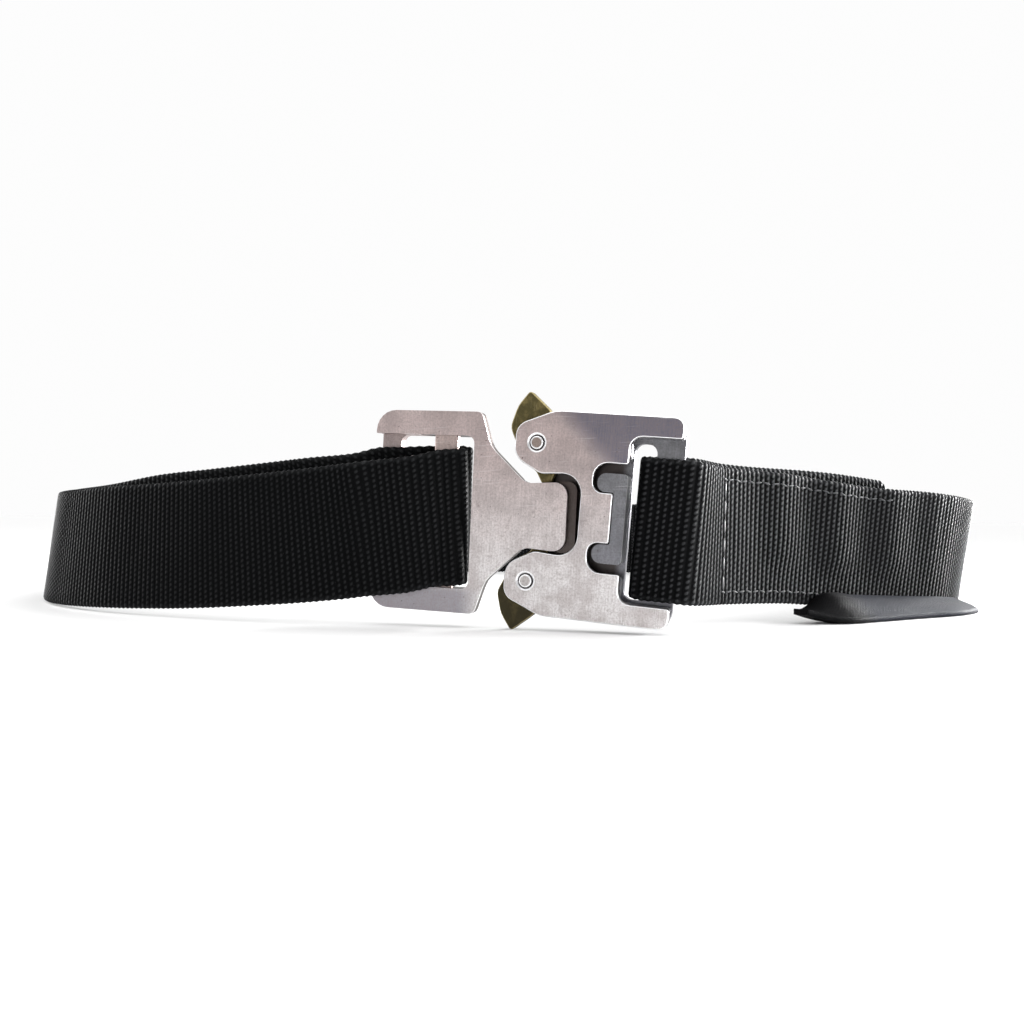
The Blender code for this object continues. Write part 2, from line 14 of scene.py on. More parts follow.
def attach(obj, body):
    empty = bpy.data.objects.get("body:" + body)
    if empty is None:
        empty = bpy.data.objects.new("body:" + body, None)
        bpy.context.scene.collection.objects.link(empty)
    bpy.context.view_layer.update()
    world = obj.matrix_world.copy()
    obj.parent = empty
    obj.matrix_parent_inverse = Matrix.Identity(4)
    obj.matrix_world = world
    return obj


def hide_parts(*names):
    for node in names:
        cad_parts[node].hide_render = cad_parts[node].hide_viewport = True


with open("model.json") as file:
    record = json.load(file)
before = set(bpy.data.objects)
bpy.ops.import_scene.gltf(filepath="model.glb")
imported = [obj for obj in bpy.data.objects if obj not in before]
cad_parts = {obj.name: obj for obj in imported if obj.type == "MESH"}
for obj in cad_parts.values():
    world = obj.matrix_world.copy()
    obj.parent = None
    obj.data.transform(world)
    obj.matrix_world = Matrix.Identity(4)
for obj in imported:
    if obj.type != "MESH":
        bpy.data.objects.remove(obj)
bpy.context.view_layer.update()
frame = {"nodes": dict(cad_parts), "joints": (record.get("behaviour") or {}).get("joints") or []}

bl_info = {
    "name": "Buckle belt",
    "version": (1, 0, 0),
    "blender": (4, 5, 0),
    "location": "3D View > Sidebar > Belt",
    "description": "Webbing, buckle, label and studio of a waist belt",
    "category": "Add Mesh",
}

MM = 0.001

# How the two halves of the buckle stand: height of the middle, clockwise turn, yaw
YAW = math.radians(17.0)
MALE_HEIGHT = 37.0 * MM
MALE_TURN = math.radians(2.35)
FEMALE_HEIGHT = 38.5 * MM
FEMALE_TURN = math.radians(4.55)
RIVET_U = 6.3 * MM
RIVET_V = 22.2 * MM

# Route of the webbing, as in the construction: plan position of its bottom edge, height of that
# edge, outward lean in degrees, how far inside it the second layer lies and how much higher.
ROUTE = (
    # x, y, lift, lean, inside, rise in millimetres
    (-54.0, 10.5, 8.8, 0.0, 5.2, 3.6),
    (-71.0, 14.5, 6.9, -1.0, 4.6, 4.0),
    (-89.0, 20.5, 5.3, -2.0, 4.2, 3.9),
    (-110.0, 29.0, 3.6, -3.0, 3.8, 3.8),
    (-131.0, 39.5, 2.4, -4.0, 3.4, 3.4),
    (-155.0, 54.0, 1.4, -5.0, 3.0, 1.2),
    (-178.0, 75.0, 0.7, -6.0, 2.8, 0.4),
    (-194.5, 102.0, 0.3, -7.0, 2.8, 0.2),
    (-203.5, 132.0, 0.0, -6.0, 2.8, 0.2),
    (-207.0, 165.0, 0.0, -4.0, 2.8, 0.2),
    (-203.0, 205.0, 0.0, -2.0, 0.0, 0.0),
    (-185.0, 247.0, 0.0, 0.0, 0.0, 0.0),
    (-145.0, 295.0, 0.0, 0.0, 0.0, 0.0),
    (-90.0, 329.0, 0.0, 0.0, 0.0, 0.0),
    (-15.0, 351.0, 0.0, 0.0, 0.0, 0.0),
    (60.0, 356.0, 0.0, 0.0, 0.0, 0.0),
    (122.0, 342.0, 0.0, 1.0, 0.0, 0.0),
    (168.0, 309.0, 0.0, 3.0, 0.0, 0.0),
    (194.0, 265.0, 0.0, 5.0, 0.0, 0.0),
    (204.0, 220.0, 0.0, 7.0, 0.0, 0.0),
    (204.0, 180.0, 0.0, 8.0, 0.0, 0.0),
    (199.0, 145.0, 0.0, 8.0, 0.0, 0.0),
    (191.0, 117.0, 0.0, 8.0, 0.0, 0.0),
    (182.5, 97.0, 0.2, 8.0, 0.0, 0.0),
    (170.0, 80.0, 1.3, 6.5, 0.0, 0.0),
    (155.0, 68.5, 2.5, 5.0, 0.0, 0.0),
    (140.0, 58.8, 3.5, 4.0, 2.6, 0.4),
    (126.0, 49.5, 4.6, 3.0, 2.6, 0.7),
    (112.0, 40.0, 5.7, 2.0, 2.6, 0.9),
    (98.0, 30.0, 6.8, 1.0, 2.6, 1.0),
    (83.0, 18.0, 7.6, 0.0, 2.7, 1.2),
    (70.0, 6.5, 8.2, 0.0, 3.2, 1.3),
)
# Passes of the webbing at the buckle, in its own plane: u, depth, v of the bottom edge
MALE_OUTER_PASS = ((-20.1, 0.5, -24.4), (-23.5, -0.3, -24.6), (-26.0, -1.5, -25.0), (-28.5, -2.4, -25.8),
                   (-34.0, -3.5, -27.3), (-41.0, -4.5, -28.4), (-48.0, -5.5, -29.4))
MALE_INNER_PASS = ((-49.0, 3.0, -24.6), (-42.0, 3.9, -24.2), (-37.0, 5.0, -23.8),
                   (-31.0, 6.6, -23.3), (-25.5, 7.2, -23.0), (-20.1, 7.2, -23.0))
FEMALE_FRONT_PASS = ((57.5, 6.4, -24.9), (52.5, 5.5, -24.8), (47.0, 5.5, -24.8), (42.5, 5.5, -24.8))
FEMALE_BACK_PASS = ((42.5, 11.1, -24.2), (48.0, 11.1, -24.0), (54.0, 11.2, -23.8))
WRAP_STEPS = 7
STATION_STEP = 0.7 * MM
SLOPE_REACH = 22.0 * MM
END_FADE = 30.0 * MM

# Label, as in the construction: rows of floor, then five of x, y, top, in millimetres
LABEL_ROWS = (
    (3.2, (102.5, 23.8, 5.6), (101.5, 24.9, 5.7), (100.5, 26.0, 5.8), (99.5, 27.1, 5.9),
     (98.3, 28.3, 6.0)),
    (0.0, (120.0, 28.1, 2.4), (116.2, 28.8, 5.5), (113.6, 31.6, 9.0), (111.4, 34.5, 10.3),
     (110.1, 36.4, 9.8)),
    (0.0, (130.0, 34.7, 2.4), (128.1, 37.6, 4.8), (126.1, 40.5, 7.4), (124.2, 43.5, 9.0),
     (123.0, 45.2, 9.0)),
    (0.0, (144.0, 44.0, 2.4), (142.1, 46.9, 4.3), (140.1, 49.8, 6.2), (138.2, 52.8, 7.8),
     (137.0, 54.5, 8.1)),
    (0.0, (158.0, 53.2, 2.4), (156.1, 56.1, 3.9), (154.1, 59.0, 5.4), (152.2, 62.0, 6.9),
     (151.2, 63.4, 7.3)),
    (0.0, (171.0, 61.5, 2.4), (169.7, 65.9, 3.6), (167.6, 68.7, 4.9), (165.6, 71.2, 6.2),
     (164.8, 72.3, 6.6)),
    (0.0, (182.4, 72.5, 2.4), (180.2, 74.6, 3.4), (178.0, 76.6, 4.4), (176.0, 78.4, 5.4),
     (175.1, 79.2, 5.8)),
)
# Gap between its layers, share of the thickness at which they touch, and its rounded rim
LABEL_GAP = 0.35 * MM
LABEL_SHUT = 0.99
LABEL_RIM = 0.32 * MM
LABEL_STEPS = 7
LABEL_FOLD_STEPS = 6
LABEL_SHUT_ROWS = 6

# Places along the outer layer of the right-hand run, by their x in the layout
SEWN_FROM_X = 67.4 * MM
SEWN_TO_X = 135.5 * MM
RIPPLE_FROM_X = 72.0 * MM
RIPPLE_TO_X = 165.0 * MM
RIPPLE_CREST_X = 92.0 * MM
SAG_FROM_X = 88.0 * MM
# Lengths on the strap: its raised end, the inner layer of its fold, the depth of its front run,
# the still edge below the waves, the blend into them, and the round of its corners
TAIL_REACH = 80.0 * MM
FOLD_REACH = 120.0 * MM
FRONT_DEPTH = 100.0 * MM
RIPPLE_CLEAR = 7.0 * MM
RIPPLE_BLEND = 14.0 * MM
STRAP_CORNER = 4.0 * MM

# Colours that no setting holds
SPECK = (0.09, 0.075, 0.07)
SCRATCH = (0.86, 0.85, 0.86)
# Painted shade for the walls of hollows and openings
PAINTED_HOLLOW_SHADE = (0.055, 0.043, 0.038)
BRASS_PIT = (0.03, 0.026, 0.012)
BRASS_LINE = (0.42, 0.36, 0.20)
BRASS_SHADOW = (0.022, 0.018, 0.010)
BRASS_BEVEL = (0.46, 0.38, 0.18)
LABEL_SHADOW = (0.0012, 0.001, 0.001)

# Brightness of the surroundings: in front, what is added on the left and right, behind and above
FRONT_LEVEL = 0.16
LEFT_LEVEL = 0.62
RIGHT_LEVEL = 0.85
BACK_LEVEL = 0.97
ZENITH_LEVEL = 1.62
# Share of the rim lights' power that the left one has
LEFT_RIM_SHARE = 0.15

# Camera in the layout
CAMERA_PLACE = (0.0, -337.3 * MM, 36.6 * MM)
CAMERA_TILT = math.radians(90.218)
CAMERA_ROLL = math.radians(0.45)
CAMERA_FOCAL_PIXELS = 1050.0
PHOTO_PIXELS = 1024.0


def seat_matrix(height, turn):
    """Place of one half of the buckle in the layout."""
    return Matrix.Translation((0.0, 0.0, height)) @ Euler((0.0, turn, -YAW)).to_matrix().to_4x4()


def joint_place(name):
    """Where a joint of the frame turns."""
    for joint in frame["joints"]:
        if joint["name"] == name:
            return Vector(joint["pos_m"])
    raise RuntimeError("the frame has no joint named " + name)


RIVET_PLACE = seat_matrix(FEMALE_HEIGHT, FEMALE_TURN) @ Vector((RIVET_U, 0.0, RIVET_V))
SHIFT = joint_place("lever_top_pivot") - RIVET_PLACE
MALE_SEAT = Matrix.Translation(SHIFT) @ seat_matrix(MALE_HEIGHT, MALE_TURN)
FEMALE_SEAT = Matrix.Translation(SHIFT) @ seat_matrix(FEMALE_HEIGHT, FEMALE_TURN)


def length_setting(name, description, size):
    return bpy.props.FloatProperty(name=name, description=description, default=size, unit="LENGTH")


def colour_setting(name, description, shade):
    return bpy.props.FloatVectorProperty(name=name, description=description, default=shade, subtype="COLOR")


def power_setting(name, description, watts):
    return bpy.props.FloatProperty(name=name, description=description, default=watts, unit="POWER")


class WebbingSettings(bpy.types.PropertyGroup):
    """Sizes and colours of the woven strap and its seam."""

    width: length_setting("Width", "Width of the webbing", 45.0 * MM)
    thickness: length_setting("Thickness", "Thickness of the webbing", 2.2 * MM)
    rib_pitch: length_setting("Rib pitch", "Distance from one rib to the next", 2.25 * MM)
    rib_relief: length_setting("Rib relief", "Height of a rib over the middle", 0.16 * MM)
    strand_pitch: length_setting("Strand pitch", "Distance between the floats on a rib", 1.8 * MM)
    ripple: length_setting("Ripple", "Half height of the soft waves beside the seam", 0.95 * MM)
    ripple_length: length_setting("Ripple length", "Length of one soft wave", 30.0 * MM)
    stitch_length: length_setting("Stitch length", "Visible length of a stitch", 3.2 * MM)
    stitch_pitch: length_setting("Stitch pitch", "Distance from one stitch to the next", 3.7 * MM)
    bartack_length: length_setting("Cross stitch length", "Visible length of a cross stitch", 4.5 * MM)
    bartack_pitch: length_setting("Cross stitch pitch", "Distance between cross stitches", 6.1 * MM)
    stitch_inset: length_setting("Stitch inset", "Distance of a seam from the edge", 4.2 * MM)
    thread: length_setting("Thread", "Thickness of the sewing thread", 0.60 * MM)
    tail_rise: length_setting("Tail rise", "How far the sewn end stands above the outer layer", 1.9 * MM)
    sag: length_setting("Sag", "How far the outer layer hangs lower beside the sewn end", 0.9 * MM)
    nylon: colour_setting("Nylon", "Colour of the yarn", (0.0022, 0.0024, 0.0027))
    # Painted highlight on the crests of the ribs
    nylon_lit: colour_setting("Lit nylon crests", "Colour of the yarn's crests", (0.034, 0.035, 0.037))
    sewing: colour_setting("Sewing thread", "Colour of the thread", (0.030, 0.031, 0.034))


class BuckleSettings(bpy.types.PropertyGroup):
    """Colours of the metals of the buckle."""

    aluminium: colour_setting("Aluminium", "Satin aluminium, lower part", (0.84, 0.82, 0.82))
    # Painted reflection: the plates turn to this darker, pinkish colour towards the top
    aluminium_upper_reflection: colour_setting("Aluminium, upper reflection", "Pinkish cast of the upper part", (0.66, 0.545, 0.53))
    back: colour_setting("Back plate", "Duller aluminium of the back plate", (0.27, 0.27, 0.285))
    bright: colour_setting("Bevels", "Polished bevels", (0.97, 0.97, 0.98))
    # Painted reflection of darker surroundings, laid on the aluminium as a bluish tint
    violet_reflection: colour_setting("Aluminium, violet", "Painted bluish reflection on the aluminium", (0.175, 0.172, 0.225))
    bar: colour_setting("Bar", "Adjuster bar", (0.62, 0.50, 0.47))
    # Painted reflection: the top rivet turns to this colour, the bottom one keeps the aluminium
    rivet: colour_setting("Rivet", "Rivet heads", (0.40, 0.32, 0.285))
    lever: colour_setting("Lever", "Dark olive brass", (0.095, 0.078, 0.030))
    lever_worn: colour_setting("Lever, worn", "Brass where it is worn", (0.24, 0.19, 0.075))


class LabelSettings(bpy.types.PropertyGroup):
    """Size and colour of the cloth label."""

    thickness: length_setting("Thickness", "Thickness of the cloth", 1.0 * MM)
    cloth: colour_setting("Cloth", "Colour of the weave", (0.0105, 0.0120, 0.0170))


class StageSettings(bpy.types.PropertyGroup):
    """Floor, lights and surroundings."""

    floor: colour_setting("Floor", "Colour of the floor", (0.74, 0.74, 0.74))
    backdrop: bpy.props.FloatProperty(
        name="Backdrop", description="Brightness behind the belt", default=0.98)
    top_power: power_setting("Top light", "Power of the light above", 1.3)
    right_power: power_setting("Right light", "Power of the light on the right", 15.0)
    rim_power: power_setting("Rim lights", "Power of the lights behind the ends of the loop", 40.0)


class Value:
    """A socket of a node tree; arithmetic on it adds Math nodes."""

    def __init__(self, finish, socket):
        self.finish = finish
        self.socket = socket

    def math(self, operation, *numbers):
        inputs = dict(enumerate(numbers))
        return self.finish.node("ShaderNodeMath", {"operation": operation}, inputs)

    def __add__(self, other):
        return self.math("ADD", self, other)

    def __radd__(self, other):
        return self.math("ADD", other, self)

    def __sub__(self, other):
        return self.math("SUBTRACT", self, other)

    def __rsub__(self, other):
        return self.math("SUBTRACT", other, self)

    def __mul__(self, other):
        return self.math("MULTIPLY", self, other)

    def __rmul__(self, other):
        return self.math("MULTIPLY", other, self)

    def __truediv__(self, other):
        return self.math("DIVIDE", self, other)

    def __pow__(self, other):
        return self.math("POWER", self, other)

    def floor(self):
        return self.math("FLOOR", self)

    def fraction(self):
        return self.math("FRACT", self)

    def sine(self):
        return self.math("SINE", self)

    def over(self, low, high):
        """0 below low, 1 above high and a smooth step between; the other way round if low is the higher."""
        settings = {"interpolation_type": "SMOOTHSTEP"}
        if low < high:
            return self.finish.node("ShaderNodeMapRange", settings, {0: self, 1: low, 2: high})
        return self.finish.node("ShaderNodeMapRange", settings, {0: self, 1: high, 2: low, 3: 1.0, 4: 0.0})


class NodeTree:
    """Adds nodes to one tree."""

    def __init__(self, tree):
        self.tree = tree

    def node(self, kind, settings, inputs, output=0):
        """A node of that type: its settings first, then the values or links of its sockets."""
        made = self.tree.nodes.new(kind)
        for name, setting in settings.items():
            setattr(made, name, setting)
        for name, value in inputs.items():
            self.feed(made.inputs[name], value)
        return Value(self, made.outputs[output])

    def feed(self, socket, value):
        if isinstance(value, Value):
            self.tree.links.new(value.socket, socket)
        elif hasattr(value, "__len__") and socket.type == "RGBA" and len(value) == 3:
            socket.default_value = (*value, 1.0)
        else:
            socket.default_value = value

    def mix(self, factor, first, second):
        """From the first colour to the second."""
        return self.node("ShaderNodeMix", {"data_type": "RGBA"}, {0: factor, 6: first, 7: second}, output=2)

    def noise(self, place, scale, detail=3.0, roughness=0.5):
        inputs = {"Vector": place, "Scale": scale, "Detail": detail, "Roughness": roughness}
        return self.node("ShaderNodeTexNoise", {}, inputs)

    def parts(self, vector):
        """The three components of a vector."""
        return [self.node("ShaderNodeSeparateXYZ", {}, {0: vector}, output=axis) for axis in range(3)]

    def vector(self, x, y, z):
        return self.node("ShaderNodeCombineXYZ", {}, {0: x, 1: y, 2: z})


class Finish(NodeTree):
    """One material while it is made."""

    def __init__(self, name, metallic, **constants):
        self.material = bpy.data.materials.new(name)
        self.material.use_nodes = True
        super().__init__(self.material.node_tree)
        self.shader = self.tree.nodes["Principled BSDF"]
        self.feed(self.shader.inputs["Metallic"], metallic)
        for socket, value in constants.items():
            self.feed(self.shader.inputs[socket.replace("_", " ")], value)

    def surface(self, colour, roughness, height, depth):
        """Colour, roughness and a relief whose full height is depth."""
        self.feed(self.shader.inputs["Base Color"], colour)
        self.feed(self.shader.inputs["Roughness"], roughness)
        bump = self.node("ShaderNodeBump", {}, {"Height": height, "Distance": depth, "Strength": 1.0})
        self.feed(self.shader.inputs["Normal"], bump)
        return self.material

    def seat_place(self, seat):
        """Place on one half of the buckle in millimetres: u, depth, v."""
        place = self.node("ShaderNodeTexCoord", {}, {}, output="Object")
        inputs = {"Vector": place, "Location": seat.to_translation(),
                  "Rotation": seat.to_euler(), "Scale": (MM, MM, MM)}
        return self.node("ShaderNodeMapping", {"vector_type": "TEXTURE"}, inputs)

    def cloth_place(self):
        """Place on a strip of cloth in millimetres: along it and across it."""
        place = self.node("ShaderNodeUVMap", {"uv_map": "UVMap"}, {})
        along, across, _ = self.parts(place)
        return along / MM, across / MM


def dimmed(colour, share):
    return [part * share for part in colour]


def satin_metal(name, seat, low_colour, high_colour, settings, marks):
    """Satin metal with blotches, dark specks and fine scratches, bright bevels, a painted reflection that
    turns it from the low to the high colour towards the top and tints it violet in places, and painted
    shade in its hollows.
    """
    finish = Finish(name, 1.0)
    place = finish.seat_place(seat)
    u, depth, v = finish.parts(place)
    cast, rim, hollow_shade = marks(u, depth, v)
    blotches = finish.noise(place, 0.10, 5.0, 0.65)
    grain = finish.noise(place, 1.5, 3.0, 0.65)
    specks = finish.noise(place, 0.75, 3.0, 0.6).over(0.66, 0.74)
    stain = finish.noise(place, 0.23, 4.0, 0.65).over(0.57, 0.74)
    across = finish.noise(finish.vector(u * 0.06 + v * 0.012, 0.0, v * 3.4 - u * 0.4), 1.0, 2.0, 0.5)
    upright = finish.noise(finish.vector(u * 3.0, 0.0, v * 0.07), 1.0, 2.0, 0.5)
    scratches = across.over(0.64, 0.74)
    brushing = upright.over(0.40, 0.60)
    # painted reflection: from the low colour to the high one towards the top
    shade = finish.mix((v + blotches * 26.0 - 13.0).over(-24.0, 27.0), low_colour, high_colour)
    shade = finish.mix(blotches.over(0.60, 0.38) * 0.42, shade, dimmed(high_colour, 0.50))
    # painted reflection: a violet tint where the marks give one
    shade = finish.mix(cast * (0.6 + 0.6 * blotches), shade, settings.violet_reflection)
    shade = finish.mix(grain.over(0.40, 0.66) * 0.40, shade, dimmed(high_colour, 0.45))
    shade = finish.mix(brushing * 0.24, shade, dimmed(high_colour, 0.55))
    shade = finish.mix(stain * 0.50, shade, dimmed(high_colour, 0.42))
    shade = finish.mix(specks * 0.70, shade, SPECK)
    shade = finish.mix(scratches * 0.42, shade, SCRATCH)
    shade = finish.mix(rim, shade, settings.bright)
    # painted shade on walls deeper than the bevels
    shade = finish.mix(hollow_shade, shade, PAINTED_HOLLOW_SHADE)
    roughness = 0.27 + 0.13 * blotches + 0.10 * grain + 0.12 * specks
    height = grain * 0.5 + scratches * 0.3 + brushing * 0.2 - specks * 0.6
    return finish.surface(shade, roughness, height, 0.02 * MM)


def bevel_mark(depth, face):
    """1 on the bevel that starts at the depth of that face."""
    return depth.over(face + 0.02, face + 0.10) * depth.over(face + 0.75, face + 0.45)


def front_marks(u, depth, v):
    """The front plate: a painted bluish reflection on the upper arm and a fainter one beside the notch, and
    painted shade on walls more than about a millimetre deep.
    """
    # painted bluish reflection on the upper arm and beside the notch
    arm = (u + v).over(40.0, 53.0) * v.over(7.0, 13.0)
    beside = u.over(10.0, 15.0) * u.over(25.0, 20.0) * v.over(8.0, 0.0) * v.over(-15.0, -6.0)
    return arm + beside * 0.5, bevel_mark(depth, 0.0), depth.over(0.8, 1.5) * 0.85


def male_marks(u, depth, v):
    """The tongue half: a painted bluish reflection on its lower arm, and painted shade on the walls in its
    openings.
    """
    # painted bluish reflection on the lower arm
    foot = u.over(-8.0, -18.0) * v.over(-23.0, -26.5)
    tongue_side = u.over(-34.0, -30.0) * depth.over(0.8, 1.5) * 0.94
    arm_side = u.over(-30.0, -34.0) * depth.over(3.5, 5.0) * 0.35
    return foot * 0.75, bevel_mark(depth, 0.0), tongue_side + arm_side


def back_marks(u, depth, v):
    """The back plate: a faint painted bluish reflection on its right, and painted shade on the walls beside
    the notch.
    """
    # painted bluish reflection on the right of the back plate
    cast = u.over(22.0, 30.0) * v.over(20.0, -12.0) * 0.25
    hollow_shade = depth.over(1.2, 2.0) * u.over(36.0, 33.0) * 0.85
    return cast, bevel_mark(depth, 0.5), hollow_shade


def plain_marks(u, depth, v):
    return 0.0, 0.0, 0.0


def rivet_marks(u, depth, v):
    """A rivet: only the rim of its head is bright."""
    aside = u - RIVET_U / MM
    up = v.math("ABSOLUTE", v) - RIVET_V / MM
    radius = (aside * aside + up * up) ** 0.5
    return 0.0, radius.over(1.55, 1.72), 0.0


def olive_brass(settings):
    """Dark brass of the levers, worn in patches and darker towards the floor."""
    finish = Finish("olive brass", 0.75)
    place = finish.seat_place(FEMALE_SEAT)
    u, depth, v = finish.parts(place)
    blotches = finish.noise(place, 0.22, 5.0, 0.65)
    grain = finish.noise(place, 2.1, 3.0, 0.6)
    worn = blotches.over(0.45, 0.72)
    lines = finish.noise(finish.vector(u * 2.2, 0.0, v * 0.16), 1.0, 2.0, 0.5).over(0.62, 0.74)
    shade = finish.mix(worn, settings.lever, settings.lever_worn)
    shade = finish.mix(grain.over(0.5, 0.8) * 0.4, shade, BRASS_PIT)
    shade = finish.mix(lines * 0.25, shade, BRASS_LINE)
    shade = finish.mix(v.over(0.0, -20.0) * 0.72, shade, BRASS_SHADOW)
    shade = finish.mix(bevel_mark(depth, 3.0) * 0.55, shade, BRASS_BEVEL)
    roughness = 0.36 + 0.16 * blotches + 0.08 * grain
    return finish.surface(shade, roughness, grain + lines * 0.4, 0.02 * MM)


def ribbed_nylon(settings, pitch, seam):
    """Ribs across the webbing, each a column of leaning floats, staggered from rib to rib; their crests
    carry a painted highlight, halved on the left part of the loop as painted shade.
    """
    finish = Finish("ribbed nylon", 0.0, Specular_IOR_Level=0.05)
    along, across = finish.cloth_place()
    rib = along / (pitch / MM)
    in_rib = rib.fraction()
    stagger = (rib.floor() * 0.5).fraction()
    step = across / (settings.strand_pitch / MM) + in_rib * 0.55 + stagger
    fuzz = finish.noise(finish.vector(along, across, 0.0), 2.6, 3.0, 0.7)
    wear = finish.noise(finish.vector(along * 0.05, across * 0.09, 0.0), 1.0, 3.0, 0.6)
    rib_height = (in_rib * math.pi).sine()
    float_height = ((step + fuzz * 0.18).fraction() * math.pi).sine()
    crest = rib_height ** 1.8 * float_height
    selvedge = across.over(2.0, 0.9) + across.over(43.0, 44.1)
    sewn = along.over(seam - 1.9, seam - 1.1) * along.over(seam + 1.9, seam + 1.1)
    # painted highlight on the crests, varied at random by the wear noise; the selvedges lighter too
    lit = crest.over(0.42, 0.90) * (0.35 + wear) + selvedge * 0.30
    # painted shade: the highlight is halved from the tail to half way to the seam, and left out on the sewn
    # line
    lit = lit * (1.0 - sewn * 0.95) * (0.50 + 0.50 * along.over(seam * 0.5, seam * 0.7))
    shade = finish.mix(lit, settings.nylon, settings.nylon_lit)
    roughness = 0.66 - crest * 0.26 + fuzz * 0.08
    height = rib_height * 0.35 + crest * 0.65 + fuzz * 0.10 - sewn * 0.8
    return finish.surface(shade, roughness, height, 0.42 * MM)


def woven_label(settings):
    """Fine plain weave of the label."""
    finish = Finish("woven label", 0.0, Specular_IOR_Level=0.08)
    along, across = finish.cloth_place()
    warp = (along * (math.pi / 0.42)).sine()
    weft = (across * (math.pi / 0.42)).sine()
    weave = warp * weft * 0.5 + 0.5
    patches = finish.noise(finish.vector(along, across, 0.0), 0.35, 4.0, 0.6)
    shade = finish.mix(weave * 0.45 + patches * 0.4, dimmed(settings.cloth, 0.45),
                       dimmed(settings.cloth, 1.7))
    shade = finish.mix(along.over(34.0, 20.0) * 0.9, shade, LABEL_SHADOW)
    return finish.surface(shade, 0.58 + 0.2 * patches, weave + patches * 0.5, 0.10 * MM)


def sewing_thread(settings):
    finish = Finish("sewing thread", 0.0, Specular_IOR_Level=0.3)
    place = finish.node("ShaderNodeTexCoord", {}, {}, output="Object")
    twist = finish.noise(place, 2600.0, 2.0)
    shade = finish.mix(twist, dimmed(settings.sewing, 0.5), dimmed(settings.sewing, 1.6))
    return finish.surface(shade, 0.40 + twist * 0.15, twist, 0.06 * MM)


def deselect():
    bpy.ops.object.select_all(action="DESELECT")


def make_active(piece):
    deselect()
    piece.select_set(True)
    bpy.context.view_layer.objects.active = piece


def shaped(piece, *steps):
    """Runs edit-mode steps on a piece with all of it selected."""
    make_active(piece)
    bpy.ops.object.mode_set(mode="EDIT")
    bpy.ops.mesh.select_all(action="SELECT")
    for step in steps:
        step()
    bpy.ops.object.mode_set(mode="OBJECT")


def apply_modifier(piece, name, kind, **settings):
    modifier = piece.modifiers.new(name, kind)
    for key, value in settings.items():
        setattr(modifier, key, value)
    make_active(piece)
    bpy.ops.object.modifier_apply(modifier=modifier.name)


def hand_over(piece, name, material, slot, body, *nodes):
    """Names a finished piece, gives it its material and puts it on its body."""
    piece.name = name
    piece.data.name = name
    piece.data.materials.clear()
    piece.data.materials.append(material)
    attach(piece, body)
    if nodes:
        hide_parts(*nodes)


def merged_copy(node):
    """Copy of a node of the frame as one closed skin, its flat faces whole."""
    source = frame["nodes"][node]
    piece = bpy.data.objects.new(node + "_skin", source.data.copy())
    bpy.context.scene.collection.objects.link(piece)
    shaped(
        piece,
        lambda: bpy.ops.mesh.customdata_custom_splitnormals_clear(),
        lambda: bpy.ops.mesh.remove_doubles(threshold=0.005 * MM),
        lambda: bpy.ops.mesh.dissolve_limited(angle_limit=math.radians(0.4)),
        lambda: bpy.ops.mesh.normals_make_consistent(inside=False),
    )
    return piece


def soft_edges(piece, angle=50.0):
    """Shades chamfers as small rounds and keeps broad faces flat."""
    make_active(piece)
    bpy.ops.object.shade_smooth_by_angle(angle=math.radians(angle))
    apply_modifier(piece, "even faces", "WEIGHTED_NORMAL", keep_sharp=True, weight=80)


def smooth(share):
    """Eases a share of 0 to 1 at both ends."""
    return share * share * (3.0 - 2.0 * share)


def neighbours(items, index):
    """The four items round the gap that follows one of them, the end ones repeated."""
    return [items[max(index - 1, 0)], items[index], items[index + 1], items[min(index + 2, len(items) - 1)]]


def curve_point(points, share):
    """Point on a Catmull-Rom curve that allows for uneven spacing."""
    knots = [0.0]
    for first, second in zip(points, points[1:]):
        knots.append(knots[-1] + max((second - first).length, 1e-6) ** 0.5)
    place = knots[1] + (knots[2] - knots[1]) * share
    level = list(points)
    for width in (1, 2, 3):
        raised = []
        for index in range(len(level) - 1):
            low, high = (1, 2) if width == 3 else (index, index + width)
            part = (place - knots[low]) / (knots[high] - knots[low])
            raised.append(level[index].lerp(level[index + 1], part))
        level = raised
    return level[0]


def outward(points, index):
    """Unit vector in plan that points out of the loop at a station of a clockwise route."""
    before = points[max(index - 1, 0)]
    after = points[min(index + 1, len(points) - 1)]
    run = (after - before).normalized()
    return Vector((-run.y, run.x, 0.0))


def route_pair(index, plan, layer, width):
    """Bottom and top edge of the webbing at a row of ROUTE, on its outer or inner layer."""
    _, _, lift, lean, inside, rise = ROUTE[index]
    out = outward(plan, index)
    base = plan[index].copy()
    base.z = lift * MM
    if layer == "inner":
        base -= out * inside * MM
        base.z += rise * MM
    across = out * math.sin(math.radians(lean)) + Vector((0.0, 0.0, math.cos(math.radians(lean))))
    return base + SHIFT, base + across * width + SHIFT


def pass_pairs(seat, rows, width):
    """Edges of the webbing where it runs through one half of the buckle."""
    up = Vector((0.0, 0.0, width))
    return [(seat @ (Vector(row) * MM), seat @ (Vector(row) * MM + up)) for row in rows]


def wrap_rows(start, finish, bulge):
    """Half turn of the webbing round a bar, from one pass to the next."""
    centre = (start[1] + finish[1]) / 2.0
    radius = (finish[1] - start[1]) / 2.0
    rows = []
    for step in range(1, WRAP_STEPS):
        angle = math.pi * step / WRAP_STEPS
        rows.append((start[0] + bulge * abs(radius) * math.sin(angle),
                     centre - radius * math.cos(angle),
                     start[2] + (finish[2] - start[2]) * step / WRAP_STEPS))
    return rows


